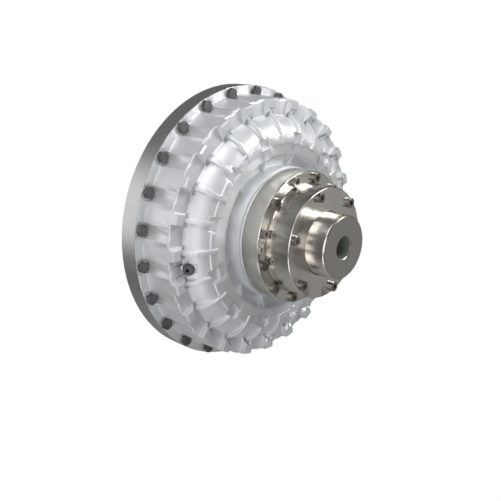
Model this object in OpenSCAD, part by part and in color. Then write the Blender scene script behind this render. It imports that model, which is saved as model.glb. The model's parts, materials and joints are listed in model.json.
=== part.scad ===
// Fluid coupling with a ribbed front shell and a pin-and-bush output hub.
// Lengths are in millimetres. The shaft axis runs along X, towards the output hub, and Z is up.
// The origin is the mouth of the input bore, at the rear face of the hollow shaft.
// Each module is drawn along a local Z axis whose zero is the back of the bolted rim.

/* [Rim] */
// Outer radius of the bolted rim
rim_r = 265; // [250:1:285]
// Thickness of each of the two rim flanges
flange_t = 20; // [19:1:21]
// Distance from the rim bolt circle to the edge of the rim
rim_bolt_edge = 11.5; // [11:0.5:13]
// Number of rim bolts, lugs and outer ribs
rim_count = 24; // [18:6:24]
// Width across the flats of the rim bolt heads
rim_bolt_af = 19; // [17:1:20]

/* [Front shell] */
// Radius of the bolt channels in the shell wall
channel_r = 14.5; // [13:0.5:15]
// Radius of the rounded front of the shell in section
dome_r = 52.5; // [51.5:0.5:53.5]
// Thickness of an outer rib
rib_t = 7.5; // [5:0.5:9]
// Height of an outer rib above the rounded front
rib_h = 7.5; // [5:0.5:8.5]
// Width of the top of a lug at the outer end of a rib
lug_w = 14; // [10:1:18]
// Height of the lug face above the rim back
lug_z = 116; // [114:0.5:118]
// Thickness of a gusset in the inner recess
gusset_t = 5; // [4:0.5:8]

/* [Blade wheels] */
// Number of blades in the inner wheel
runner_vanes = 25; // [15:1:27]
// Number of blades in the housing's wheel
impeller_vanes = 23; // [15:1:27]
// Thickness of a blade
vane_t = 3; // [2.5:0.5:4]
// Gap between the two blade wheels
wheel_gap = 4; // [3:0.5:6]

/* [Input shaft] */
// Radius of the input bore
in_bore_r = 30; // [22:1:32]
// Depth of the input bore
in_bore_len = 180; // [140:5:185]
// Width of the input keyway
key_w = 18; // [12:1:20]
// Depth of the input keyway beyond the bore wall
key_d = 4.4; // [3.3:0.1:5]

/* [Output end] */
// Radius of the drum
drum_r = 100.5; // [94:0.5:108]
// Distance from the drive ring's screw circle to its edge
ring_edge = 11.1; // [10:0.1:13]
// Radius of the output boss
boss_r = 57.5; // [54:0.5:57.8]
// Front end of the output boss
boss_z = 284.3; // [270:0.5:300]
// Radius of the output bore
out_bore_r = 20; // [15:0.5:40]

/* [Fits] */
// Radial clearance of a sliding fit
fit_c = 0.05; // [0.02:0.01:0.08]
// Radial clearance of balls in their tracks
ball_c = 0.03; // [0.02:0.01:0.06]

/* [Hidden] */
$fn = 96;
// Distance from the rear face of the hollow shaft to the back of the rim
rim_back_x = 85;
// Angle between neighbouring rim bolts
pitch = 360 / rim_count;
// Face where the front shell is bolted on
face_z = 2 * flange_t;
// Radii of the rim bolt circle and of the wall between the bolt channels
rim_bolt_pcr = rim_r - rim_bolt_edge;
wall_r = rim_bolt_pcr - 7.5;
// Depth of the spot face under a bolt head
spot_d = 0.8;
// Height of a rim bolt head
rim_head_h = 8;
// Radius of a rim bolt shank
rim_shank_r = 6;
// Drive ring: bore round the drum, screw circle and outside
ring_in = drum_r + 0.35;
ring_pcr = ring_in + 10.05;
ring_r = ring_pcr + ring_edge;
// Radius of the neck and of the seat for the drive ring
neck_r = ring_r + 2;
seat_r = ring_r - 3.5;
// Inside and outside radius of the flat annulus
annulus_in = neck_r + 24;
annulus_out = annulus_in + 19;
// Centre of the rounded front in section
dome_c = [annulus_out - 3, 88];
// Flat panel between the lugs
panel_z = 109.5;
// Run of a lug's side slope, and floor of the pocket at the end of a rib
lug_slope = 9;
pocket_z = 107.2;
// Front of the flat annulus
annulus_z = dome_c[1] + dome_r;
// Floor of the recess inside the annulus
recess_z = 120;
// Front end of the neck and of the seat
neck_front = 149;
neck_z = 154.8;
// Wall of the rounded front
dome_wall = 8.5;
// Spigot between the two housing halves, and bore of the shell
spigot_r = rim_bolt_pcr - 25.5;
shell_bore_r = spigot_r - 4;
// Centre plane of the oil circuit and its section radius
circuit_z = 58;
circuit_a = 42;
// Radii of the two section centres of the oil circuit
circuit_in = 137;
circuit_out = min(shell_bore_r - circuit_a - 10, dome_c[0] + 8);
// Wall of a blade wheel
wheel_wall = 5;
// Rear bearing seat and width
rb_z = -30;
rb_w = 24;
rb_in = 45;
rb_out = 70;
rb_pitch = 57.5;
rb_ball = 8.5;
// Front bearing seat and width
fb_z = 120;
fb_w = 22;
fb_in = 40;
fb_out = 62.5;
fb_pitch = 51.25;
fb_ball = 7.5;
// Circlip thickness and groove width
clip_t = 2.5;
clip_gap = 0.1;
// Rear end of the hollow shaft
shaft_back = -rim_back_x;
// Front end of the hollow shaft
shaft_front = 146;
// Rear end of the rear cover's hub
hub_back = -58;
// Radius of the carrier screw circle
carrier_pcr = 79;
// Outer and inner radius of the seal carrier
carrier_r = 88;
carrier_in = 50;
// Screws that hold the inner wheel to the shaft
runner_pcr = 60;
// Heights of the drive ring and groove for its seal
ring_z = neck_z;
ring_face = 192.7;
ring_floor = 170;
ring_spigot_r = 70;
ring_spigot_z = 148;
groove_z = 149.3;
groove_w = 4.4;
// Tip of the drive ring's screws
ring_screw_tip = 130.7;
// Socket screw of the output end
cap_r = 9;
cap_h = 7;
cap_shank = 6;
cap_socket = 4.6;
// Pins and bushes
pin_pcr = drum_r - 30.5;
pin_r = 9;
bush_r = 16;
bush_len = 15;
// Output hub flange and drum
hub_z = 172;
hub_flange_z = 190;
hub_flange_r = drum_r - 2.5;
drum_z = 243.8;
drum_web = 226;
drum_in = drum_r - 18.5;
cover_pcr = drum_r - 10.9;
// Plugs in the front shell: lean, height of the seat above the section centre, and angle
plug_lean = 61;
plug_seat = dome_r + 0.7;
plug_af = 17;
plug_angle = 278;
washer_t = 1.5;
washer_r = 11.6;

// Turns the local Z axis onto the shaft axis
module place() {
    translate([rim_back_x, 0, 0])
        rotate([0, 90, 0])
            children();
}

// Copies of a child round the axis
module around(n, start) {
    for (i = [0 : n - 1])
        rotate([0, 0, start + i * 360 / n])
            children();
}

// A plate standing in a plane through the axis, drawn as radius and height
module plate(t) {
    rotate([90, 0, 0])
        translate([0, 0, -t / 2])
            linear_extrude(t)
                children();
}

// Places a child on the rounded front, at a height above its section centre
module on_dome(a, d) {
    rotate([0, 0, a])
        translate([dome_c[0], 0, dome_c[1]])
            rotate([0, plug_lean, 0])
                translate([0, 0, d])
                    children();
}

// A plain round ring
module ring(r1, r2, z1, z2) {
    rotate_extrude()
        translate([r1, z1])
            square([r2 - r1, z2 - z1]);
}

// A hexagon-socket screw with its head on the plane zero and its shank below
module cap_screw(len, shank, head, high, socket) {
    difference() {
        union() {
            cylinder(r = head, h = high - 0.6);
            translate([0, 0, high - 0.6])
                cylinder(r1 = head, r2 = head - 0.6, h = 0.6);
            translate([0, 0, -len])
                cylinder(r = shank, h = len + 1);
        }
        translate([0, 0, high - 4])
            cylinder(r = socket, h = 5, $fn = 6);
    }
}

// Arc points of the oil circuit in section, for one side of the centre plane
function circuit(a, s) = concat(
    [for (i = [0 : 6]) [circuit_in - a * cos(i * 15), circuit_z + s * a * sin(i * 15)]],
    [for (i = [6 : -1 : 0]) [circuit_out + a * cos(i * 15), circuit_z + s * a * sin(i * 15)]]);

// Half of the oil circuit in section, cut back from the centre plane
module half_circuit(a, s, back = 0) {
    g = wheel_gap / 2 + back;
    intersection() {
        polygon(circuit(a, s));
        translate([0, s > 0 ? circuit_z + g : circuit_z - g - 100])
            square([400, 100]);
    }
}

// Hollow input shaft with a flange for the inner wheel
module hollow_shaft() color([0.62, 0.62, 0.63]) place() {
    difference() {
        rotate_extrude()
            polygon([[0, shaft_back], [rb_in - 1.5, shaft_back], [rb_in, shaft_back + 1.5],
                [rb_in, rb_z + rb_w], [50, rb_z + rb_w], [50, 10], [72, 10], [72, 20], [46, 20],
                [46, 29], [42, 29], [42, fb_z], [fb_in, fb_z], [fb_in, fb_z + fb_w],
                [38, fb_z + fb_w], [38, fb_z + fb_w + clip_t + clip_gap],
                [fb_in, fb_z + fb_w + clip_t + clip_gap], [fb_in, shaft_front - 1],
                [fb_in - 1, shaft_front], [0, shaft_front]]);
        translate([0, 0, shaft_back - 1])
            cylinder(r = in_bore_r, h = in_bore_len + 1);
        translate([-in_bore_r - key_d, -key_w / 2, shaft_back - 1])
            cube([in_bore_r, key_w, in_bore_len - 4]);
        around(8, 22.5)
            translate([runner_pcr, 0, 9])
                cylinder(r = cap_shank + fit_c, h = 12);
    }
}

// Inner blade wheel, bolted to the shaft flange
module runner_wheel() color([0.72, 0.72, 0.72]) place() {
    difference() {
        union() {
            rotate_extrude()
                difference() {
                    union() {
                        half_circuit(circuit_a + wheel_wall, -1);
                        translate([46 + fit_c, 20])
                            square([64, 9]);
                    }
                    half_circuit(circuit_a, -1);
                }
            around(runner_vanes, 7)
                plate(vane_t)
                    half_circuit(circuit_a + 2, -1, 1);
        }
        around(8, 22.5)
            translate([runner_pcr, 0, 15])
                cylinder(r = cap_shank + 0.5, h = 20);
    }
}

// Screws of the inner wheel
module runner_screws() color([0.3, 0.3, 0.32]) place() {
    around(8, 22.5)
        translate([runner_pcr, 0, 29])
            cap_screw(18.5, cap_shank, cap_r, 10, cap_socket);
}

// Split ring that keeps the front bearing on the shaft
module shaft_circlip() color([0.25, 0.25, 0.27]) place() {
    difference() {
        ring(38 + fit_c, 45, fb_z + fb_w, fb_z + fb_w + clip_t);
        translate([0, -3, fb_z])
            cube([60, 6, 60]);
    }
}

// Split ring that keeps the front bearing in the shell
module housing_circlip() color([0.25, 0.25, 0.27]) place() {
    difference() {
        ring(57.5, 65.5 - fit_c, fb_z + fb_w, fb_z + fb_w + clip_t);
        translate([0, -3, fb_z])
            cube([80, 6, 60]);
    }
}

// One bearing race with its ball track
module race(r1, r2, z, w, pr, br) {
    difference() {
        ring(r1, r2, z, z + w);
        rotate_extrude()
            translate([pr, z + w / 2])
                circle(r = br + ball_c);
    }
}

// A full set of bearing balls
module balls(n, z, w, pr, br) {
    around(n, 0)
        translate([pr, 0, z + w / 2])
            sphere(r = br);
}

// Cage that spaces the balls
module cage(n, z, w, pr, br) {
    difference() {
        ring(pr - 1.3, pr + 1.3, z + 1.5, z + w - 1.5);
        around(n, 0)
            translate([pr - 6, 0, z + w / 2])
                rotate([0, 90, 0])
                    cylinder(r = br + ball_c, h = 12);
    }
}

// Rear ball bearing
module rear_race_inner() color([0.7, 0.71, 0.72]) place()
    race(rb_in, 52.4, rb_z, rb_w, rb_pitch, rb_ball);
module rear_race_outer() color([0.7, 0.71, 0.72]) place()
    race(62.6, rb_out, rb_z, rb_w, rb_pitch, rb_ball);
module rear_balls() color([0.8, 0.8, 0.82]) place()
    balls(16, rb_z, rb_w, rb_pitch, rb_ball);
module rear_cage() color([0.7, 0.55, 0.25]) place()
    cage(16, rb_z, rb_w, rb_pitch, rb_ball);

// Front ball bearing
module front_race_inner() color([0.7, 0.71, 0.72]) place()
    race(fb_in, 46.6, fb_z, fb_w, fb_pitch, fb_ball);
module front_race_outer() color([0.7, 0.71, 0.72]) place()
    race(55.9, fb_out, fb_z, fb_w, fb_pitch, fb_ball);
module front_balls() color([0.8, 0.8, 0.82]) place()
    balls(14, fb_z, fb_w, fb_pitch, fb_ball);
module front_cage() color([0.7, 0.55, 0.25]) place()
    cage(14, fb_z, fb_w, fb_pitch, fb_ball);

// Rear half of the housing, with the rear bearing hub
module rear_cover() color([0.78, 0.78, 0.78]) place() {
    difference() {
        union() {
            rotate_extrude()
                polygon([[62, 7], [62, rb_z + rb_w], [rb_out, rb_z + rb_w], [rb_out, hub_back],
                    [90, hub_back], [90, -20], [100, -8], [rim_r - 33, -8], [rim_r - 25, 0],
                    [rim_r - 1.5, 0], [rim_r, 1.5], [rim_r, flange_t],
                    [spigot_r, flange_t], [spigot_r, flange_t + 6],
                    [spigot_r - 9, flange_t + 6], [spigot_r - 9, 12], [spigot_r - 14, 7]]);
            around(12, 0)
                plate(8)
                    polygon([[86, -46], [rim_r - 43, -11], [rim_r - 43, -4], [86, -4]]);
        }
        rotate_extrude()
            translate([spigot_r + 5, flange_t - 5.4])
                square([6, 6]);
        around(rim_count, pitch / 2)
            translate([rim_bolt_pcr, 0, 3])
                cylinder(r = rim_shank_r + fit_c, h = flange_t);
        around(6, 15)
            translate([carrier_pcr, 0, hub_back - 1])
                cylinder(r = 4 + fit_c, h = 20);
    }
}

// Lip seal on the rear journal
module rear_seal() color([0.08, 0.08, 0.08]) place() {
    rotate_extrude()
        polygon([[60, hub_back], [60, hub_back + 12], [56, hub_back + 12], [56, hub_back + 3],
            [51, hub_back + 3], [48, hub_back + 10], [rb_in + fit_c, hub_back + 7],
            [rb_in + fit_c, hub_back + 6], [47.5, hub_back]]);
}

// Ring that holds the seal and the rear bearing
module seal_carrier() color([0.6, 0.6, 0.6]) place() {
    difference() {
        rotate_extrude()
            polygon([[carrier_in, hub_back - 8], [carrier_r - 1.5, hub_back - 8], [carrier_r, hub_back - 6.5],
                [carrier_r, hub_back], [rb_out - fit_c, hub_back], [rb_out - fit_c, rb_z],
                [60, rb_z], [60, hub_back], [carrier_in, hub_back]]);
        around(6, 15)
            translate([carrier_pcr, 0, hub_back - 9])
                cylinder(r = 4.5, h = 20);
    }
}

// Screws of the seal carrier
module carrier_screws() color([0.3, 0.3, 0.32]) place() {
    around(6, 15)
        translate([carrier_pcr, 0, hub_back - 8])
            rotate([180, 0, 0])
                cap_screw(22, 4, 6.5, 8, 3.7);
}

// Section of the front shell before its cavity is cut
module shell_outside() {
    polygon([[0, flange_t], [rim_r, flange_t], [rim_r, face_z - 1.5], [rim_r - 1.5, face_z],
        [wall_r + 5, face_z], [wall_r + 2.8, face_z + 1], [wall_r + 2, face_z + 4],
        [wall_r, 98], [wall_r - 1.5, panel_z - 3], [wall_r - 5.5, panel_z],
        [dome_c[0] + 11, panel_z], [dome_c[0] + 11, annulus_z - 2], [annulus_out, annulus_z],
        [annulus_in, annulus_z], [annulus_in, recess_z], [neck_r, recess_z],
        [neck_r, neck_front], [seat_r, neck_front], [seat_r, neck_z], [0, neck_z]]);
    intersection() {
        translate(dome_c)
            circle(r = dome_r);
        translate([dome_c[0] + 6, panel_z - 3])
            square([50, 60]);
    }
}

// Section of the cavity in the front shell
module shell_inside() {
    polygon([[-1, flange_t - 1], [spigot_r + fit_c, flange_t - 1], [spigot_r + fit_c, 34],
        [shell_bore_r, 34], [shell_bore_r, 92], [dome_c[0] - 8, 92], [dome_c[0] - 8, recess_z - 8],
        [56, recess_z - 8], [56, fb_z],
        [fb_out, fb_z], [fb_out, fb_z + fb_w], [65.5, fb_z + fb_w],
        [65.5, fb_z + fb_w + clip_t + clip_gap], [fb_out, fb_z + fb_w + clip_t + clip_gap],
        [fb_out, 146], [ring_spigot_r + fit_c, 146], [ring_spigot_r + fit_c, neck_z + 1],
        [-1, neck_z + 1]]);
    intersection() {
        translate(dome_c)
            circle(r = dome_r - dome_wall);
        translate([dome_c[0] - 9, 91])
            square([60, 60]);
    }
}

// Raised lug at the outer end of a rib, with sloping sides
module lug() {
    low = panel_z - 4;
    half = lug_w / 2;
    foot = half + lug_slope;
    intersection() {
        plate(3 * foot)
            polygon([[wall_r - 30, low], [wall_r - 30, panel_z + 0.5], [wall_r - 23.5, lug_z],
                [wall_r - 3, lug_z], [wall_r - 0.8, lug_z - 4], [wall_r - 0.8, low]]);
        translate([wall_r - 46, 0, 0])
            rotate([90, 0, 90])
                linear_extrude(60)
                    polygon([[-foot - 2, low - 1], [-foot, panel_z - 1], [-half, lug_z + 0.5],
                        [half, lug_z + 0.5], [foot, panel_z - 1], [foot + 2, low - 1]]);
    }
}

// Pointed pocket round the outer end of a rib
module rib_pocket() {
    translate([0, 0, pocket_z])
        linear_extrude(20)
            polygon([[wall_r - 32.5, -12], [wall_r - 18, -3], [wall_r - 16.5, 0], [wall_r - 18, 3],
                [wall_r - 32.5, 12]]);
}

// Outline of one outer rib in section
module rib_shape() {
    difference() {
        intersection() {
            translate([dome_c[0] + 6, dome_c[1] + 1.5])
                circle(r = dome_r + rib_h - 6);
            translate([annulus_out - 1, 100])
                square([60, 60]);
        }
        translate(dome_c)
            circle(r = dome_r - dome_wall / 2);
    }
}

// Ribbed front half of the housing
module front_shell() color([0.86, 0.86, 0.86]) place() {
    difference() {
        union() {
            difference() {
                union() {
                    rotate_extrude()
                        difference() {
                            shell_outside();
                            shell_inside();
                        }
                    around(rim_count, 0)
                        lug();
                }
                around(rim_count, 0)
                    rib_pocket();
            }
            around(rim_count, 0)
                plate(rib_t)
                    rib_shape();
            around(12, 0)
                rotate([0, 0, -10.5])
                    rotate_extrude(angle = 21)
                        polygon([[annulus_out - 1.5, 134], [annulus_out - 1.5, annulus_z + 0.8],
                            [annulus_out + 14, annulus_z - 0.6], [annulus_out + 17, 134]]);
            around(12, 15)
                plate(gusset_t)
                    polygon([[neck_r - 2, 116], [neck_r - 2, 123], [annulus_in + 2, 138],
                        [annulus_in + 2, 116]]);
            for (a = [0, 180])
                on_dome(plug_angle + a, dome_r - 6)
                    cylinder(r = 13, h = plug_seat - dome_r + 7);
        }
        around(12, 15)
            translate([annulus_out - 0.5, -12, 134.5])
                cube([19.5, 24, 20]);
        around(rim_count, pitch / 2)
            translate([rim_bolt_pcr, 0, face_z - spot_d])
                cylinder(r = channel_r, h = 80);
        around(rim_count, pitch / 2)
            translate([rim_bolt_pcr, 0, flange_t - 1])
                cylinder(r = rim_shank_r + 0.5, h = flange_t + 2);
        around(12, 15)
            translate([ring_pcr, 0, 128])
                cylinder(r = cap_shank + fit_c, h = 40);
        for (a = [0, 180])
            on_dome(plug_angle + a, dome_r - 15)
                cylinder(r = 8 + fit_c, h = 30);
        for (a = [0, 180])
            on_dome(plug_angle + a, plug_seat)
                cylinder(r = 14.5, h = 30);
    }
}

// Blade wheel of the housing, pressed into the front shell
module impeller() color([0.72, 0.72, 0.72]) place() {
    rotate_extrude()
        difference() {
            union() {
                half_circuit(circuit_a + wheel_wall, 1);
                translate([circuit_out + circuit_a + 1, circuit_z + wheel_gap / 2])
                    square([shell_bore_r - circuit_out - circuit_a - 1, 16]);
            }
            half_circuit(circuit_a, 1);
        }
    around(impeller_vanes, 3)
        plate(vane_t)
            half_circuit(circuit_a + 2, 1, 1);
}

// Hexagon bolts round the rim
module rim_bolts() color([0.3, 0.31, 0.31]) place() {
    around(rim_count, pitch / 2)
        translate([rim_bolt_pcr, 0, face_z - spot_d]) {
            intersection() {
                cylinder(r = rim_bolt_af / sqrt(3), h = rim_head_h, $fn = 6);
                union() {
                    cylinder(r = rim_bolt_af / sqrt(3) + 1, h = rim_head_h - 1.5);
                    translate([0, 0, rim_head_h - 1.5])
                        cylinder(r1 = rim_bolt_af / 2 + 1.3, r2 = rim_bolt_af / 2 - 0.8, h = 1.6);
                }
            }
            translate([0, 0, -flange_t - 14])
                cylinder(r = rim_shank_r, h = flange_t + 15);
        }
}

// Seal ring between the two housing halves
module rim_o_ring() color([0.06, 0.06, 0.06]) place() {
    rotate_extrude()
        translate([spigot_r + 8, flange_t - 2.65])
            circle(r = 2.65);
}

// A hexagon plug with its seat on the plane zero
module plug(bore) {
    difference() {
        union() {
            cylinder(r = 10.8, h = 2);
            translate([0, 0, 1.5])
                cylinder(r = plug_af / sqrt(3), h = 5.5, $fn = 6);
            translate([0, 0, -14])
                cylinder(r = 8, h = 15);
        }
        if (bore > 0)
            translate([0, 0, -15])
                cylinder(r = bore, h = 40);
    }
}

// Plug that melts and lets the oil out when it is too hot
module fusible_plug() color([0.25, 0.25, 0.26]) place()
    on_dome(plug_angle, plug_seat + washer_t)
        plug(3);

// Plug of the filling hole, on the opposite side
module filler_plug() color([0.3, 0.3, 0.31]) place()
    on_dome(plug_angle + 180, plug_seat + washer_t)
        plug(0);

// Sealing washers under both plugs
module plug_washers() color([0.7, 0.5, 0.3]) place()
    for (a = [0, 180])
        on_dome(plug_angle + a, plug_seat)
            ring(8 + fit_c, washer_r, 0, washer_t);

// Ring that drives the output through the pins
module drive_ring() color([0.7, 0.66, 0.6]) place() {
    difference() {
        rotate_extrude()
            polygon([[0, ring_spigot_z], [ring_spigot_r - 1, ring_spigot_z],
                [ring_spigot_r, ring_spigot_z + 1], [ring_spigot_r, groove_z],
                [ring_spigot_r - 3.5, groove_z], [ring_spigot_r - 3.5, groove_z + groove_w],
                [ring_spigot_r, groove_z + groove_w], [ring_spigot_r, ring_z], [ring_r, ring_z],
                [ring_r, ring_face - 1.5], [ring_r - 1.5, ring_face], [ring_in + 0.8, ring_face],
                [ring_in, ring_face - 0.8], [ring_in, ring_floor], [0, ring_floor]]);
        around(12, 15)
            translate([ring_pcr, 0, ring_z - 1])
                cylinder(r = cap_shank + 0.5, h = 50);
        around(2, 90)
            translate([ring_pcr, 0, ring_floor + 2])
                cylinder(r = 4.25, h = 40);
        around(6, 45)
            translate([pin_pcr, 0, ring_z + 1.2])
                cylinder(r = pin_r, h = 40);
    }
}

// Socket screws of the drive ring
module ring_screws() color([0.45, 0.43, 0.4]) place()
    around(12, 15)
        translate([ring_pcr, 0, ring_face])
            cap_screw(ring_face - ring_screw_tip, cap_shank, cap_r, cap_h, cap_socket);

// Seal ring on the spigot of the drive ring
module ring_o_ring() color([0.06, 0.06, 0.06]) place()
    rotate_extrude()
        translate([ring_spigot_r - 1.7, groove_z + groove_w / 2])
            circle(r = 1.7);

// Pins pressed into the drive ring
module coupling_pins() color([0.66, 0.66, 0.67]) place()
    around(6, 45)
        translate([pin_pcr, 0, 0]) {
            translate([0, 0, ring_z + 1.2])
                cylinder(r = pin_r, h = hub_flange_z - ring_z - 1.2);
            translate([0, 0, hub_flange_z - 1])
                cylinder(r = 6, h = 15);
        }

// Washers in front of the bushes
module pin_washers() color([0.66, 0.66, 0.67]) place()
    around(6, 45)
        translate([pin_pcr, 0, 0])
            ring(6 + fit_c, 10.5, hub_flange_z, hub_flange_z + 2.5);

// Nuts on the pins
module pin_nuts() color([0.4, 0.4, 0.42]) place()
    around(6, 45)
        translate([pin_pcr, 0, hub_flange_z + 2.5])
            difference() {
                cylinder(r = 9.8, h = 8, $fn = 6);
                translate([0, 0, -1])
                    cylinder(r = 6 + fit_c, h = 10);
            }

// Rubber bushes round the pins
module rubber_bushes() color([0.05, 0.05, 0.05]) place()
    around(6, 45)
        translate([pin_pcr, 0, 0])
            ring(pin_r + fit_c, bush_r - fit_c, hub_z, hub_z + bush_len);

// Output hub with a plain pilot bore
module output_hub() color([0.72, 0.68, 0.62]) place() {
    difference() {
        rotate_extrude()
            polygon([[out_bore_r, hub_z], [hub_flange_r - 1, hub_z], [hub_flange_r, hub_z + 1],
                [hub_flange_r, hub_flange_z], [boss_r, hub_flange_z], [boss_r, boss_z - 2.5],
                [boss_r - 2.5, boss_z], [out_bore_r + 1.5, boss_z], [out_bore_r, boss_z - 1.5]]);
        around(6, 45)
            translate([pin_pcr, 0, hub_z - 1])
                cylinder(r = bush_r, h = bush_len + 1);
        around(6, 45)
            translate([pin_pcr, 0, hub_z + 5])
                cylinder(r = pin_r + 3, h = drum_web - hub_z - 10);
        around(6, 15)
            translate([cover_pcr, 0, hub_z + 2])
                cylinder(r = cap_shank + fit_c, h = 30);
    }
}

// Drum bolted over the hub flange
module drum() color([0.7, 0.66, 0.6]) place() {
    difference() {
        rotate_extrude()
            polygon([[drum_in, hub_flange_z], [drum_r - 0.1, hub_flange_z],
                [drum_r - 0.1, ring_face + 0.4], [drum_r + 0.9, ring_face + 0.4],
                [drum_r + 0.9, ring_face + 2], [drum_r, ring_face + 3.5], [drum_r, drum_z - 1.5],
                [drum_r - 1.5, drum_z], [boss_r + 1.2, drum_z], [boss_r + 0.7, drum_z - 0.5],
                [boss_r + 0.7, drum_web], [drum_in, drum_web]]);
        around(6, 15)
            translate([cover_pcr, 0, hub_flange_z - 1])
                cylinder(r = cap_shank + 0.5, h = 70);
    }
}

// Socket screws in the front of the drum
module cover_screws() color([0.45, 0.43, 0.4]) place()
    around(6, 15)
        translate([cover_pcr, 0, drum_z])
            cap_screw(66, cap_shank, cap_r, cap_h, cap_socket);

hollow_shaft();
runner_wheel();
runner_screws();
shaft_circlip();
rear_race_inner();
rear_race_outer();
rear_balls();
rear_cage();
front_race_inner();
front_race_outer();
front_balls();
front_cage();
housing_circlip();
rear_cover();
rear_seal();
seal_carrier();
carrier_screws();
front_shell();
impeller();
rim_bolts();
rim_o_ring();
fusible_plug();
filler_plug();
plug_washers();
drive_ring();
ring_screws();
ring_o_ring();
coupling_pins();
pin_washers();
pin_nuts();
rubber_bushes();
output_hub();
drum();
cover_screws();
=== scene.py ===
# %% [markdown]
# # A fluid coupling, dressed for the camera
# The packed model brings every machined and cast solid in its true place, in metres, with the
# shaft axis along X. Blender adds what a solid cannot hold: broken edges, the grain of a casting,
# the rings that a lathe leaves, and the light. The frame is loaded first, because each later piece
# is worked out from it, and its box is kept, since some sizes below are read from it.

# %% Load the frame
import json
import math

import bmesh
import bpy
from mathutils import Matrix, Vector

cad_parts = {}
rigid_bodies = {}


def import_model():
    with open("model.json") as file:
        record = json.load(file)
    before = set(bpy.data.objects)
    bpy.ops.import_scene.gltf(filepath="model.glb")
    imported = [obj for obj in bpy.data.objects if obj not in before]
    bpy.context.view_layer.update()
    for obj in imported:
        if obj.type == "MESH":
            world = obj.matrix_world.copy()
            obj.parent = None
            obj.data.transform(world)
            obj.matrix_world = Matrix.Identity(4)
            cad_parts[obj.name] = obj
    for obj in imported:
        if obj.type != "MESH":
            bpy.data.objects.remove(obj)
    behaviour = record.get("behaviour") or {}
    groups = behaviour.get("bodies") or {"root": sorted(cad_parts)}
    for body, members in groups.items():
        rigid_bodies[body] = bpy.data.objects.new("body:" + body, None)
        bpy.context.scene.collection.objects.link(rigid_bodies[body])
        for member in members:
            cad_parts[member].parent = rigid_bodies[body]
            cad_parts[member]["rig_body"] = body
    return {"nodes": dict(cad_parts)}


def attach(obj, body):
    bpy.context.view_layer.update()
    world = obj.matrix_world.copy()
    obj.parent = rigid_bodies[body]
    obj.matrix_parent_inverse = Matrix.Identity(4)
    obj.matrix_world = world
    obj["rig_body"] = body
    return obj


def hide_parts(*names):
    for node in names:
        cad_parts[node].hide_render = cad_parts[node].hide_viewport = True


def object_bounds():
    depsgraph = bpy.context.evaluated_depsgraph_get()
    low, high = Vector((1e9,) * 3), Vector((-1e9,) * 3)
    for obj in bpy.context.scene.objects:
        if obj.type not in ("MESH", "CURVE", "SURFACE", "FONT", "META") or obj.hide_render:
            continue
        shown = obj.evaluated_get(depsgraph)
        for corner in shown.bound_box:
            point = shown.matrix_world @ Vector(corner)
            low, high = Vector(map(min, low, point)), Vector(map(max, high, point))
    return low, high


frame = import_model()
nodes = frame["nodes"]
cad_low, cad_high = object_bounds()
print("nodes", len(nodes), "box", [round(v, 4) for v in (*cad_low, *cad_high)])

# %% [markdown]
# ## Writing node sums as Python
# A shader or a geometry tree is a graph of small nodes, and a long formula soon fills a page with
# them. One wrapper round a socket lets the formula be written as plain Python: each operator adds
# its Math node and returns the new socket. A graph has a single method that makes any other kind of
# node, so every finish and every tree below reads as a short list of sentences.

# %% A socket that does sums
class Value:
    """A node socket that takes part in Python expressions."""

    def __init__(self, graph, socket):
        self.graph, self.socket = graph, socket

    def sum(self, operation, a, b=0.0, clamp=False):
        settings = {"operation": operation, "use_clamp": clamp}
        return self.graph.node("ShaderNodeMath", settings, {0: a, 1: b})

    def __add__(self, other): return self.sum("ADD", self, other)
    def __radd__(self, other): return self.sum("ADD", other, self)
    def __sub__(self, other): return self.sum("SUBTRACT", self, other)
    def __rsub__(self, other): return self.sum("SUBTRACT", other, self)
    def __mul__(self, other): return self.sum("MULTIPLY", self, other)
    def __rmul__(self, other): return self.sum("MULTIPLY", other, self)
    def __truediv__(self, other): return self.sum("DIVIDE", self, other)
    def __rtruediv__(self, other): return self.sum("DIVIDE", other, self)
    def __pow__(self, other): return self.sum("POWER", self, other)
    def sine(self): return self.sum("SINE", self)
    def clamped(self): return self.sum("ADD", self, 0.0, clamp=True)
    def above(self, edge, soft): return ((self - edge) * (1.0 / soft) + 0.5).clamped()


class Graph:
    """A node tree under construction."""

    def __init__(self, tree):
        self.tree = tree

    def node(self, kind, settings=None, sockets=None, out=0):
        made = self.tree.nodes.new(kind)
        for key, value in (settings or {}).items():
            setattr(made, key, value)
        for key, value in (sockets or {}).items():
            for one in value if isinstance(value, list) else [value]:
                self.join(made.inputs[key], one)
        return Value(self, made.outputs[out])

    def join(self, socket, value):
        if isinstance(value, Value):
            self.tree.links.new(value.socket, socket)
        else:
            socket.default_value = value

    def white_for_camera(self, plain, white, output):
        """Shows the camera a white shader, and every other ray the plain one."""
        seen = self.node("ShaderNodeLightPath", out="Is Camera Ray")
        mixed = self.node("ShaderNodeMixShader", sockets={0: seen, 1: plain, 2: white})
        self.join(self.tree.nodes[output].inputs["Surface"], mixed)


print("sums are written with", Value.__name__, "and trees with", Graph.__name__)

# %% [markdown]
# Finishes share a few patterns: noise, the rings of a lathe, a blend of two colours and a bump. All of
# them use object coordinates, so a pattern stays on its piece when the piece turns.

# %% Patterns that finishes share
COLOUR_A, COLOUR_B, COLOUR_OUT = 6, 7, 2  # places of a Mix node's colour sockets


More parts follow.
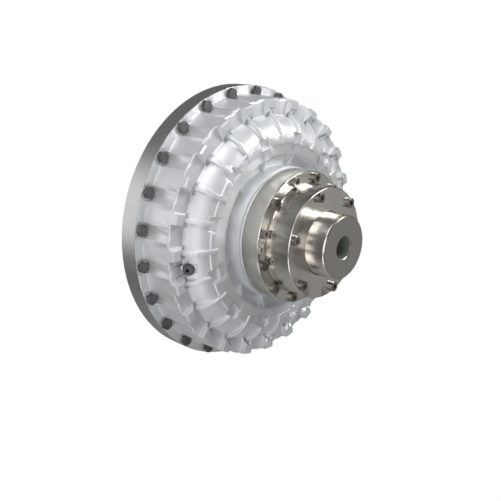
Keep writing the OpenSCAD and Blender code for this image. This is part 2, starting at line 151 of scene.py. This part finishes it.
class Finish(Graph):
    """One material, with the patterns that the finishes below share."""

    def __init__(self, name):
        self.material = bpy.data.materials.new(name)
        self.material.use_nodes = True
        super().__init__(self.material.node_tree)
        self.shader = self.tree.nodes["Principled BSDF"]

    def set(self, **sockets):
        for key, value in sockets.items():
            self.join(self.shader.inputs[key.replace("_", " ").title()], value)

    def spot(self):
        return self.node("ShaderNodeTexCoord", out="Object")

    def place(self):
        """Object coordinates, the distance along the shaft axis and the distance from it."""
        spot = self.spot()
        parts = self.node("ShaderNodeSeparateXYZ", sockets={0: spot})
        x, y, z = (Value(self, socket) for socket in parts.socket.node.outputs)
        return spot, x, (y * y + z * z) ** 0.5

    def noise(self, spot, scale, detail=3.0):
        sockets = {"Vector": spot, "Scale": scale, "Detail": detail, "Roughness": 0.55}
        return self.node("ShaderNodeTexNoise", sockets=sockets)

    def rings(self, along, feed):
        """Waves from 0 to 1 along a distance, with the feed in radians per metre."""
        return (along * feed).sine() * 0.5 + 0.5

    def blend(self, share, a, b):
        a, b = ((*colour, 1) if isinstance(colour, tuple) else colour for colour in (a, b))
        sockets = {0: share, COLOUR_A: a, COLOUR_B: b}
        return self.node("ShaderNodeMix", {"data_type": "RGBA"}, sockets, out=COLOUR_OUT)

    def bump(self, height, strength, distance):
        sockets = {"Strength": strength, "Distance": distance, "Height": height}
        return self.node("ShaderNodeBump", sockets=sockets)


print("patterns", [name for name in vars(Finish) if not name.startswith("_")])

# %% [markdown]
# ## The cast light alloy
# The two housing halves are cast: pale, faintly blotched and finely grained, and turned on a lathe
# only at the rim. One material covers both, because the rim is the same metal. The radius from the
# shaft axis says where the turned band is, so no seam has to be cut in the mesh.

# %% Cast shell finish
RIM_RADIUS = (cad_high.z - cad_low.z) / 2
RIM_SKIN, RIM_SOFT, RIM_FEED = 0.0012, 0.0006, 9000.0
TURNED_DARK, TURNED_LIGHT = (0.50, 0.505, 0.50), (0.62, 0.625, 0.62)


def cast_finish(name, pale, shade):
    f = Finish(name)
    spot, x, radius = f.place()
    grain = f.noise(spot, scale=850.0, detail=2.0)
    cloud = f.noise(spot, scale=14.0, detail=4.0)
    pit = f.noise(spot, scale=210.0, detail=2.0).above(0.66, soft=0.06)
    rim = radius.above(RIM_RADIUS - RIM_SKIN, RIM_SOFT)
    ring = f.rings(x, RIM_FEED)
    cast = f.blend((cloud * 1.5 - 0.25).clamped(), shade, pale)
    turned = f.blend(ring * 0.4 + cloud * 0.6, TURNED_DARK, TURNED_LIGHT)
    rough_cast, rough_rim = 0.42 + grain * 0.10, 0.36 + cloud * 0.08
    relief = (grain * 0.6 - pit * 0.5) * (1 - rim) + ring * rim * 0.4
    f.set(base_color=f.blend(rim, cast, turned),
          metallic=rim * 0.45 + 0.5,
          roughness=rough_cast * (1 - rim) + rim * rough_rim,
          normal=f.bump(relief, strength=0.22, distance=0.0004))
    return f.material


cast_shell = cast_finish("cast_shell", (0.84, 0.855, 0.865), (0.74, 0.76, 0.775))
blade_alloy = cast_finish("blade_alloy", (0.72, 0.73, 0.73), (0.60, 0.61, 0.62))
print("cast finishes made, rim radius", round(RIM_RADIUS, 4))

# %% [markdown]
# ## The turned nickel steel
# The output end is turned steel with a warm, almost mirror-like plating. A lathe leaves rings: on a
# cylinder they follow X and on a face they follow the radius, so the sum of the two draws them on
# both. They are kept so shallow that they only spread the highlight. The wall of the pilot bore is
# left as bored, rough and dull, and its colour is painted shade: dark and greenish, as the hollow looks
# in shade. The front face of the boss is painted darker, which is painted shade too.

# %% Turned steel finishes
BORE_RADIUS, BORE_SKIN, BORE_SOFT = 0.020, 0.0004, 0.0003
BOSS_FRONT, FACE_SKIN, FACE_SOFT = cad_high.x, 0.0006, 0.0002
# painted shade: the colours of the bore wall, dark and greenish as the hollow looks in shade
BORE_SHADE_DARK, BORE_SHADE_LIGHT = (0.20, 0.215, 0.19), (0.30, 0.32, 0.28)
# painted shade: the colour that darkens the front face of the boss, and how much of it is mixed in
BOSS_FACE_SHADE, BOSS_FACE_SHADE_SHARE = (0.20, 0.20, 0.19), 0.45
COARSE_FEED, FINE_FEED = 7400.0, 21500.0


def turned_finish(name, light, dark, rough, metal=1.0, ring_depth=0.10, bore=0.0):
    f = Finish(name)
    spot, x, radius = f.place()
    ring, fine = f.rings(x + radius, COARSE_FEED), f.rings(x + radius, FINE_FEED)
    cloud = f.noise(spot, scale=22.0, detail=4.0)
    smear = f.noise(spot, scale=95.0, detail=3.0)
    inside = 1 - radius.above(bore + BORE_SKIN, BORE_SOFT)
    # painted shade inside the bore, with cloudy noise through it
    bore_shade = f.blend(smear, BORE_SHADE_DARK, BORE_SHADE_LIGHT)
    face = x.above(BOSS_FRONT - FACE_SKIN, FACE_SOFT)
    plain = f.blend(cloud * 0.7 + ring * 0.3, dark, light)
    # painted shade on the front face of the boss, mixed into the plated colour
    plated = f.blend(face * BOSS_FACE_SHADE_SHARE, plain, BOSS_FACE_SHADE)
    f.set(base_color=f.blend(inside, plated, bore_shade),
          metallic=metal - inside * 0.6,
          roughness=rough + cloud * 0.07 + smear * 0.05 - 0.06 + inside * 0.3,
          normal=f.bump(ring * 0.6 + fine * 0.4, ring_depth, distance=0.00012))
    return f.material


nickel = turned_finish("nickel_steel", (0.76, 0.73, 0.68), (0.68, 0.65, 0.60), 0.25, bore=BORE_RADIUS)
plated_cap = turned_finish("plated_cap", (0.32, 0.30, 0.275), (0.22, 0.205, 0.19), 0.26, metal=0.95)
ground_steel = turned_finish("ground_steel", (0.62, 0.62, 0.63), (0.52, 0.52, 0.53), 0.24)
carrier_steel = turned_finish("carrier_steel", (0.52, 0.53, 0.54), (0.43, 0.44, 0.45), 0.30)
polished_steel = turned_finish("polished_steel", (0.78, 0.78, 0.79), (0.70, 0.70, 0.71), 0.12,
                               ring_depth=0.03)
cage_brass = turned_finish("cage_brass", (0.76, 0.58, 0.28), (0.62, 0.45, 0.19), 0.28)
print("turned finishes made")

# %% [markdown]
# ## Dark oxide steel and rubber
# The rim bolts and plugs are blackened: dark, largely metallic and blotchy, with a paler bloom where
# the oxide has rubbed thin. Rubber is duller and has a fine grain.

# %% Dark finishes
def oxide_finish(name, dark, bloom, rough):
    f = Finish(name)
    spot = f.spot()
    cloud = f.noise(spot, scale=120.0, detail=4.0)
    speck = f.noise(spot, scale=900.0, detail=2.0)
    f.set(base_color=f.blend((cloud * 1.8 - 0.55).clamped(), dark, bloom),
          metallic=0.75,
          roughness=rough + speck * 0.15 + cloud * 0.08,
          normal=f.bump(speck * 0.6 + cloud * 0.4, strength=0.18, distance=0.0002))
    return f.material


def rubber_finish(name, dark, bloom):
    f = Finish(name)
    grain = f.noise(f.spot(), scale=700.0, detail=3.0)
    f.set(base_color=f.blend(grain, dark, bloom),
          roughness=0.62 + grain * 0.2,
          normal=f.bump(grain, strength=0.2, distance=0.0003))
    return f.material


bolt_oxide = oxide_finish("bolt_oxide", (0.12, 0.122, 0.12), (0.22, 0.223, 0.22), 0.34)
plug_oxide = oxide_finish("plug_oxide", (0.10, 0.10, 0.103), (0.18, 0.18, 0.186), 0.38)
screw_oxide = oxide_finish("screw_oxide", (0.10, 0.10, 0.105), (0.19, 0.19, 0.195), 0.36)
seal_rubber = rubber_finish("seal_rubber", (0.018, 0.018, 0.019), (0.04, 0.04, 0.041))
print("dark finishes made")

# %% [markdown]
# ## A finish for every node
# The inner pieces are seldom seen, but every one is a real part and gets the finish of its metal. The
# pieces made below look their finish up in the same list.

# %% Finish every node
FINISHES = (
    (cast_shell, ("front_shell", "rear_cover")),
    (blade_alloy, ("runner_wheel", "impeller")),
    (nickel, ("drive_ring", "drum", "output_hub")),
    (plated_cap, ("ring_screws", "cover_screws")),
    (ground_steel, ("hollow_shaft", "plug_washers", "coupling_pins", "pin_washers")),
    (carrier_steel, ("seal_carrier",)),
    (polished_steel, ("rear_race_inner", "rear_race_outer", "rear_balls",
                      "front_race_inner", "front_race_outer", "front_balls")),
    (cage_brass, ("rear_cage", "front_cage")),
    (bolt_oxide, ("rim_bolts",)),
    (plug_oxide, ("fusible_plug", "filler_plug")),
    (screw_oxide, ("runner_screws", "shaft_circlip", "housing_circlip", "carrier_screws", "pin_nuts")),
    (seal_rubber, ("rear_seal", "rim_o_ring", "ring_o_ring", "rubber_bushes")),
)
finish_of = {node: material for material, names in FINISHES for node in names}
for node, material in finish_of.items():
    nodes[node].data.materials.clear()
    nodes[node].data.materials.append(material)
print("nodes with a finish", len(finish_of), "of", len(nodes))

# %% [markdown]
# ## Dressing the solids
# A packed solid is a set of loose triangles with knife-sharp edges, and no real edge is that sharp.
# A copy is merged into one skin, and a narrow bevel breaks every sharp edge so that it catches the
# light. The copy then stands for the node. The two halves of the rim meet in a plane, and their edges
# there stay sharp, so the joint shows as a hair line only.

# %% Merge, break the edges, stand in
RIM_BACK = 0.085
PARTING, ON_PARTING = RIM_BACK + 0.020, 1e-5
SHARP = math.radians(28)
MERGE = 2e-6
BEVEL_SEGMENTS = 2


def placed(name, data):
    """A new object in the scene."""
    thing = bpy.data.objects.new(name, data)
    bpy.context.scene.collection.objects.link(thing)
    return thing


def merged(source):
    """The loose triangles of a solid as one skin, open for editing."""
    mesh = bmesh.new()
    mesh.from_mesh(source)
    bmesh.ops.remove_doubles(mesh, verts=mesh.verts, dist=MERGE)
    return mesh


def kept(mesh, name):
    """An edited skin as a mesh of its own."""
    skin = bpy.data.meshes.new(name)
    mesh.to_mesh(skin)
    mesh.free()
    return skin


def smooth_skin(skin, material):
    skin.materials.clear()
    skin.materials.append(material)
    skin.shade_smooth()
    skin.set_sharp_from_angle(angle=SHARP)


def stand_in(name, skin, node):
    """A piece that is shown in place of a node and rides on its body."""
    piece = placed(name, skin)
    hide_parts(node)
    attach(piece, nodes[node]["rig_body"])
    return piece


def dressed(node, bevel, shape):
    mesh = merged(shape)
    weight = mesh.edges.layers.float.new("bevel_weight_edge")
    for edge in mesh.edges:
        parting = all(abs(v.co.x - PARTING) < ON_PARTING for v in edge.verts)
        edge[weight] = float(edge.calc_face_angle(0.0) > SHARP and not parting)
    skin = kept(mesh, node + "_skin")
    smooth_skin(skin, finish_of[node])
    piece = stand_in(node + "_skin", skin, node)
    broken = piece.modifiers.new("broken_edges", "BEVEL")
    broken.width, broken.segments, broken.limit_method = bevel, BEVEL_SEGMENTS, "WEIGHT"
    broken.use_clamp_overlap, broken.harden_normals = False, True
    return piece


print("edges sharper than", round(math.degrees(SHARP)), "degrees are broken")

# %% [markdown] ## Trees that repeat a piece Both trees below place copies round the shaft axis and
# cut solids with each other. A second function sets a tree's inputs by socket identifier, takes the
# result as a plain mesh and removes its maker.

# %% What the trees share
ALONG_SHAFT = (0.0, math.pi / 2, 0.0)  # turns the Z axis of a tree to the shaft axis


class Repeat(Graph):
    """A geometry tree with named inputs that ends in real copies."""

    def __init__(self, name, kinds):
        super().__init__(bpy.data.node_groups.new(name, "GeometryNodeTree"))
        for key, kind in kinds.items():
            self.tree.interface.new_socket(name=key, in_out="INPUT", socket_type="NodeSocket" + kind)
        self.tree.interface.new_socket(name="Geometry", in_out="OUTPUT",
                                       socket_type="NodeSocketGeometry")
        source = self.tree.nodes.new("NodeGroupInput")
        self.given = {key: Value(self, source.outputs[key]) for key in kinds}

    def vector(self, **parts):
        return self.node("ShaderNodeCombineXYZ", sockets=parts)

    def moved(self, geometry, **moves):
        sockets = {"Geometry": geometry, **{key.title(): value for key, value in moves.items()}}
        return self.node("GeometryNodeTransform", sockets=sockets)

    def copies(self, points, instance, turn):
        sockets = {"Points": points, "Instance": instance, "Rotation": turn}
        return self.node("GeometryNodeInstanceOnPoints", sockets=sockets)

    def cut(self, operation, sockets):
        settings = {"operation": operation, "solver": "EXACT"}
        return self.node("GeometryNodeMeshBoolean", settings, sockets)

    def end(self, geometry):
        real = self.node("GeometryNodeRealizeInstances", sockets={"Geometry": geometry})
        sockets = {"Geometry": real, "Material": self.given["Material"]}
        done = self.node("GeometryNodeSetMaterial", sockets=sockets)
        self.join(self.tree.nodes.new("NodeGroupOutput").inputs["Geometry"], done)
        return self.tree


def evaluated(host, tree, inputs):
    making = host.modifiers.new(tree.name, "NODES")
    making.node_group = tree
    for item in tree.interface.items_tree:
        if item.name in inputs:
            making[item.identifier] = inputs[item.name]
    whole = bpy.context.evaluated_depsgraph_get()
    skin = bpy.data.meshes.new_from_object(host.evaluated_get(whole))
    bpy.data.objects.remove(host)
    return skin


print("shared steps", [name for name in vars(Repeat) if not name.startswith("_")])

# %% [markdown]
# ## The lugs of the front shell
# Each rib ends in a square lug, and a flat panel with a rounded, waving edge lies between two lugs. The
# packed solid has that crown in a plainer form, so it is recut here. A liner makes each bolt channel
# shallower towards the front, a lofted wedge clears each valley down to the panel, a small block
# clears both sides of each rib, and a drafted lug is set over the rib's end. All sizes in the next
# cell are in millimetres: radius, distance across and height above the back of the rim.

# %% Blocks for one pitch of the crown
LUGS = 24
PITCH = math.tau / LUGS
PANEL, LUG_TOP, ABOVE, OUTSIDE = 104.0, 116.1, 120.0, 262.0
LUG_HALF, LUG_DRAFT, LUG_LAP = 10.2, 0.08, 0.25
EDGE_WIDE, EDGE_TALL, EDGE_TURN, EDGE_GAP = 5.2, 7.0, 15, 0.15
EDGE_LOW = 96.8
VALLEY_RADIUS, VALLEY_STEPS = 244.0, 12
CHANNEL_CENTRE, CHANNEL_RADIUS, WALL, LINER_LIFT = 253.5, 14.5, 246.2, 5.0
LINER_HALF, LINER_STEPS, LINER_BACK, LINER_SHY = 14.0, 10, 235.0, 0.7
LINER_FOOT, LINER_RUN, LINER_HEIGHTS = 42.0, 58.0, (42.0, 75.0, 108.0)
THROAT_IN, THROAT_OUT = 3.85, 10.6
DOME_FOOT = (214.0, PANEL)
DOME_SIDE = [(213.0, 107.0), (211.85, 109.6), (214.0, 113.0), (220.0, ABOVE)]
LUG_SLOPE = [(213.0, 104.3), (229.0, LUG_TOP)]
THROAT_OUTLINE = [(213.7, 105.0), *DOME_SIDE, (231.0, ABOVE), (229.2, LUG_TOP - 0.1)]
LUG_OUTLINE = [(213.0, 100.0), *LUG_SLOPE, (243.1, LUG_TOP), (245.35, 112.0), (245.35, 100.0)]


def lug_half(height):
    return LUG_HALF - LUG_DRAFT * (height - PANEL)


def lofted(name, rows):
    """A closed block lofted through rows of points."""
    mesh = bmesh.new()
    made = [[mesh.verts.new((x / 1000, y / 1000, z / 1000)) for x, y, z in row] for row in rows]
    mesh.faces.new(made[0])
    mesh.faces.new(made[-1][::-1])
    for row, after in zip(made, made[1:]):
        for i in range(len(row)):
            mesh.faces.new((row[i - 1], row[i], after[i], after[i - 1]))
    bmesh.ops.recalc_face_normals(mesh, faces=mesh.faces)
    return placed(name, kept(mesh, name))


def straight_block(name, outline, low, high):
    return lofted(name, [[(r, side(z), z) for r, z in outline] for side in (low, high)])


def valley_row(share):
    """Outline of a valley cutter at a share of its half width."""
    across = share * (VALLEY_RADIUS * math.tan(PITCH / 2) - lug_half(PANEL))
    reach = max(CHANNEL_RADIUS ** 2 - across ** 2, 0.0)
    edge = min(WALL, CHANNEL_CENTRE + LINER_LIFT - math.sqrt(reach) + EDGE_GAP)
    turns = [math.radians(angle) for angle in range(0, 90 + EDGE_TURN, EDGE_TURN)]
    rounded = [(edge - EDGE_WIDE + EDGE_WIDE * math.sin(a), PANEL - EDGE_TALL + EDGE_TALL * math.cos(a))
               for a in turns]
    outline = [DOME_FOOT, *rounded, (OUTSIDE, EDGE_LOW), (OUTSIDE, ABOVE), *DOME_SIDE[::-1]]
    half = [r * math.tan(PITCH / 2) - (lug_half(z) - LUG_LAP) / math.cos(PITCH / 2) for r, z in outline]
    return [(r, share * h, z) for (r, z), h in zip(outline, half)]


def liner_row(height):
    """Outline of the metal that makes a bolt channel shallower towards the front."""
    lift = LINER_LIFT * (height - LINER_FOOT) / LINER_RUN
    spread = [LINER_HALF * (i / LINER_STEPS - 1) for i in range(2 * LINER_STEPS + 1)]
    bed = [CHANNEL_CENTRE + lift - math.sqrt(CHANNEL_RADIUS ** 2 - y * y) for y in spread]
    front = [(min(r, WALL - LINER_SHY), y, height) for r, y in zip(bed, spread)]
    return [*front, (LINER_BACK, LINER_HALF, height), (LINER_BACK, -LINER_HALF, height)]


valley_rows = [valley_row(i / VALLEY_STEPS - 1) for i in range(2 * VALLEY_STEPS + 1)]
crown_blocks = {
    "Liner": lofted("liner_block", [liner_row(z) for z in LINER_HEIGHTS]),
    "Valley": lofted("valley_block", valley_rows),
    "Left Throat": straight_block("left_throat", THROAT_OUTLINE,
                                  lambda z: -THROAT_OUT, lambda z: -THROAT_IN),
    "Right Throat": straight_block("right_throat", THROAT_OUTLINE,
                                   lambda z: THROAT_IN, lambda z: THROAT_OUT),
    "Lug": straight_block("lug_block", LUG_OUTLINE, lambda z: -lug_half(z), lug_half),
}
print("blocks", {name: len(block.data.polygons) for name, block in crown_blocks.items()})

# %% [markdown]
# One tree turns the blocks round the axis and applies them in order. The liners are added first,
# because the valleys are cut into them, and the lugs come last, over the cleared ends of the ribs.

# %% The tree that recuts the crown
ON_RIB, BETWEEN_RIBS = 0.0, 0.5


def crown_tree():
    kinds = {"Geometry": "Geometry", "Count": "Int", "Material": "Material"}
    g = Repeat("crown", {**kinds, **{name: "Object" for name in crown_blocks}})
    count, index = g.given["Count"], g.node("GeometryNodeInputIndex")

    def turned(name, start):
        block = g.node("GeometryNodeObjectInfo", sockets={"Object": g.given[name]}, out="Geometry")
        points = g.node("GeometryNodeMeshCircle", sockets={"Vertices": count, "Radius": 0.0})
        round_axis = g.vector(Z=(index + start) * math.tau / count)
        return g.moved(g.copies(points, block, round_axis),
                       translation=(RIM_BACK, 0.0, 0.0), rotation=ALONG_SHAFT)

    throats = [turned("Left Throat", ON_RIB), turned("Right Throat", ON_RIB)]
    cutters = [turned("Valley", BETWEEN_RIBS), *throats]
    lined = g.cut("UNION", {"Mesh 2": [g.given["Geometry"], turned("Liner", BETWEEN_RIBS)]})
    cleared = g.cut("DIFFERENCE", {"Mesh 1": lined, "Mesh 2": cutters})
    return g.end(g.cut("UNION", {"Mesh 2": [cleared, turned("Lug", ON_RIB)]}))


def crowned_shell():
    host = placed("crown_host", kept(merged(nodes["front_shell"].data), "crown_host"))
    inputs = {"Count": LUGS, "Material": cast_shell, **crown_blocks}
    shape = evaluated(host, crown_tree(), inputs)
    for block in crown_blocks.values():
        bpy.data.objects.remove(block)
    return shape


shell_shape = crowned_shell()
print("crowned shell", len(shell_shape.polygons), "faces")

# %% [markdown]
# Nine pieces are dressed: the ones that show, or whose edges show. The front shell takes the recut
# shape, and the others take the packed solid as it is.

# %% Dress the turned and cast pieces
BEVELS = {"front_shell": 0.0007, "rear_cover": 0.0006, "drive_ring": 0.0004, "drum": 0.0004,
          "output_hub": 0.0005, "seal_carrier": 0.0004, "hollow_shaft": 0.0004,
          "fusible_plug": 0.0004, "filler_plug": 0.0004}
for node, bevel in BEVELS.items():
    piece = dressed(node, bevel, shell_shape if node == "front_shell" else nodes[node].data)
    print(piece.name, len(piece.data.polygons), "faces")

# %% [markdown]
# ## Circles of screws
# Four circles of screws hold the coupling together, and one geometry tree makes any of them. A head
# starts as a prism with six sides or many, a wide cone trims its top corners, a small prism cuts the
# socket where there is one, and a plain shank is added. The points of a circle carry the copies,
# and each is turned on its own axis by a seeded amount, as the spanner left it.

# %% The tree
SCREW_INPUTS = {"Count": "Int", "Pitch Radius": "Float", "Start Angle": "Float", "Seat": "Float",
                "Turned Over": "Float", "Sides": "Int", "Head Radius": "Float",
                "Head Height": "Float", "Top Radius": "Float", "Socket Radius": "Float",
                "Socket Depth": "Float", "Shank Radius": "Float", "Shank Length": "Float",
                "Seed": "Int", "Material": "Material"}
CHAMFER_RUN = 1 / math.tan(math.radians(30))
SPARE, SHANK_LAP = 0.001, 0.0005
TRIM_SIDES, SOCKET_SIDES, SHANK_SIDES = 96, 6, 32
RANDOM_LOW, RANDOM_HIGH, RANDOM_OUT = 2, 3, 1  # places of a Random Value node's number sockets


def screw_circle_tree():
    g = Repeat("screw_circle", SCREW_INPUTS)
    given = g.given

    def prism(sides, low, top, depth, lift=0.0):
        sockets = {"Vertices": sides, "Radius Top": top, "Radius Bottom": low, "Depth": depth}
        return g.moved(g.node("GeometryNodeMeshCone", sockets=sockets), translation=g.vector(Z=lift))

    high, top, wide = given["Head Height"], given["Top Radius"], given["Head Radius"]
    blank = prism(given["Sides"], wide, wide, high + SPARE)
    trim = prism(TRIM_SIDES, top + (high + SPARE) * CHAMFER_RUN, top, high + SPARE, -SPARE)
    head = g.cut("INTERSECT", {"Mesh 2": [blank, trim]})
    bore, deep = given["Socket Radius"], given["Socket Depth"]
    socket = prism(SOCKET_SIDES, bore, bore, deep + SPARE, high - deep)
    bored = g.cut("DIFFERENCE", {"Mesh 1": head, "Mesh 2": [socket]})
    has_socket = g.node("FunctionNodeCompare", sockets={"A": bore, "B": 0.0})
    chosen = g.node("GeometryNodeSwitch", {"input_type": "GEOMETRY"},
                    {"Switch": has_socket, "False": head, "True": bored})
    length, thick = given["Shank Length"], given["Shank Radius"]
    shank = prism(SHANK_SIDES, thick, thick, length, SHANK_LAP - length)
    screw = g.node("GeometryNodeJoinGeometry", sockets={"Geometry": [chosen, shank]})

    sockets = {"Vertices": given["Count"], "Radius": given["Pitch Radius"]}
    circle = g.node("GeometryNodeMeshCircle", sockets=sockets)
    points = g.moved(circle, rotation=g.vector(Z=given["Start Angle"]))
    sockets = {RANDOM_LOW: 0.0, RANDOM_HIGH: math.tau, "Seed": given["Seed"]}
    spin = g.node("FunctionNodeRandomValue", sockets=sockets, out=RANDOM_OUT)
    copies = g.copies(points, screw, g.vector(X=given["Turned Over"], Z=spin))
    return g.end(g.moved(copies, translation=g.vector(X=given["Seat"]), rotation=ALONG_SHAFT))


screw_circle = screw_circle_tree()
print("tree", screw_circle.name, len(screw_circle.nodes), "nodes")

# %% [markdown]
# Each circle below has the seat and the pitch radius of the node that it stands for, and the head
# sizes are those of common screws: M12 hexagon heads on the rim, M12 low socket heads on the output
# end and M8 socket heads at the back.

# %% The four circles
RIM_START, SCREW_START = math.radians(7.5), math.radians(15)
LOW_CAP = {"Start Angle": SCREW_START, "Sides": 48, "Head Radius": 0.009, "Head Height": 0.007,
           "Top Radius": 0.0084, "Socket Radius": 0.0046, "Socket Depth": 0.004, "Shank Radius": 0.0059}
CIRCLES = {
    "rim_bolts": {"Count": 24, "Pitch Radius": 0.2535, "Start Angle": RIM_START,
                  "Seat": RIM_BACK + 0.0392, "Sides": 6, "Head Radius": 0.01097,
                  "Head Height": 0.008, "Top Radius": 0.0089, "Shank Radius": 0.0059,
                  "Shank Length": 0.034, "Seed": 3},
    "ring_screws": {**LOW_CAP, "Count": 12, "Pitch Radius": 0.1109, "Seat": RIM_BACK + 0.1927,
                    "Shank Length": 0.062, "Seed": 5},
    "cover_screws": {**LOW_CAP, "Count": 6, "Pitch Radius": 0.0896, "Seat": RIM_BACK + 0.2438,
                     "Shank Length": 0.066, "Seed": 7},
    "carrier_screws": {"Count": 6, "Pitch Radius": 0.079, "Start Angle": SCREW_START,
                       "Seat": RIM_BACK - 0.066, "Turned Over": math.pi, "Sides": 40,
                       "Head Radius": 0.0065, "Head Height": 0.008, "Top Radius": 0.006,
                       "Socket Radius": 0.0037, "Socket Depth": 0.004, "Shank Radius": 0.0039,
                       "Shank Length": 0.022, "Seed": 9},
}
for node, sizes in CIRCLES.items():
    host = placed(node + "_made", bpy.data.meshes.new(node + "_host"))
    skin = evaluated(host, screw_circle, {**sizes, "Material": finish_of[node]})
    smooth_skin(skin, finish_of[node])
    piece = stand_in(node + "_made", skin, node)
    print(piece.name, len(piece.data.polygons), "faces")

# %% [markdown]
# ## The camera
# Ellipses in a picture of a round object say where the camera stood. Fitted to the rim, the bolt
# circle, the drum and the boss, they give a viewpoint half way between the front and the side, a
# little above the shaft. The lens is shifted so that the object sits where the picture has it.

# %% Camera
AZIMUTH, ELEVATION = math.radians(45), math.radians(15)
CAMERA_DISTANCE = 5.5 * 0.265  # 5.5 rim radii
level = math.cos(ELEVATION)
back = Vector((math.sin(AZIMUTH) * level, -math.cos(AZIMUTH) * level, math.sin(ELEVATION)))
camera_data = bpy.data.cameras.new("camera")
camera_data.sensor_width, camera_data.lens = 36.0, 52.32
camera_data.shift_x, camera_data.shift_y = 0.0446, -0.0650
camera = placed("camera", camera_data)
camera.location = Vector((RIM_BACK, 0.0, 0.0)) + back * CAMERA_DISTANCE
camera.rotation_mode = "QUATERNION"
camera.rotation_quaternion = (-back).to_track_quat("-Z", "Y")
bpy.context.scene.camera = camera
print("camera at", [round(v, 3) for v in camera.location])

# %% [markdown]
# ## Floor and light
# The picture has a plain white ground. The floor is pale, and for the camera it glows evenly, so it
# reads as white without more light on the metal. It lies far below the coupling, which stands free in
# the picture.

# %% Floor
FLOOR_HEIGHT, FLOOR_HALF = -1.6, 6
FLOOR_DARK, FLOOR_LIGHT = (0.60, 0.60, 0.60), (0.64, 0.64, 0.64)
WHITE = (1.0, 1.0, 1.0, 1.0)


def plain_floor():
    f = Finish("pale_floor")
    f.set(base_color=f.blend(f.noise(f.spot(), scale=3.0), FLOOR_DARK, FLOOR_LIGHT), roughness=0.7)
    glow = f.node("ShaderNodeEmission", sockets={"Color": WHITE, "Strength": 1.0})
    f.white_for_camera(Value(f, f.shader.outputs[0]), glow, "Material Output")
    return f.material


floor_mesh = bpy.data.meshes.new("floor")
signs = ((-1, -1), (1, -1), (1, 1), (-1, 1))
corners = [(x * FLOOR_HALF, y * FLOOR_HALF, FLOOR_HEIGHT) for x, y in signs]
floor_mesh.from_pydata(corners, [], [(0, 1, 2, 3)])
floor_mesh.materials.append(plain_floor())
floor = placed("floor", floor_mesh)
print("floor laid")

# %% [markdown]
# Six soft lamps light the object. The key lamp stands above and in front, a broad lamp fills from beside
# the camera, and a small one on the right picks out the crown. A lamp at the left lights the rim, a
# weak one on the right is what the front faces of the steel mirror, and a low one lifts the shade
# underneath. A dim surround leaves the steel something dark to mirror.

# %% Lamps and surround
AIM = Vector((0.2, 0.0, 0.0))
SURROUND, SURROUND_STRENGTH = (0.95, 0.97, 1.0, 1.0), 0.12
LAMPS = {  # place and width in metres, power in watts
    "key_lamp": ((0.55, -0.80, 1.50), 1.0, 12),
    "front_lamp": ((1.35, -1.75, 0.30), 1.6, 13),
    "right_lamp": ((1.25, 0.90, 0.95), 0.6, 15),
    "side_lamp": ((-1.30, -1.20, 0.25), 1.5, 9),
    "face_lamp": ((1.35, 1.30, -0.35), 1.0, 0.8),
    "low_lamp": ((0.90, -1.25, -1.00), 0.8, 4.5),
}
for name, (place, width, power) in LAMPS.items():
    lamp = bpy.data.lights.new(name, "AREA")
    lamp.shape, lamp.size, lamp.energy = "SQUARE", width, power
    box = placed(name, lamp)
    box.location = place
    box.rotation_mode = "QUATERNION"
    box.rotation_quaternion = (AIM - Vector(place)).to_track_quat("-Z", "Y")
world = bpy.data.worlds.new("surround")
bpy.context.scene.world = world
world.use_nodes = True
air = Graph(world.node_tree)
dim = air.tree.nodes["Background"]
air.join(dim.inputs["Color"], SURROUND)
air.join(dim.inputs["Strength"], SURROUND_STRENGTH)
white = air.node("ShaderNodeBackground", sockets={"Color": WHITE, "Strength": 1.0})
air.white_for_camera(Value(air, dim.outputs[0]), white, "World Output")
bpy.context.scene.view_settings.view_transform = "Standard"
print("lamps set", len(LAMPS))
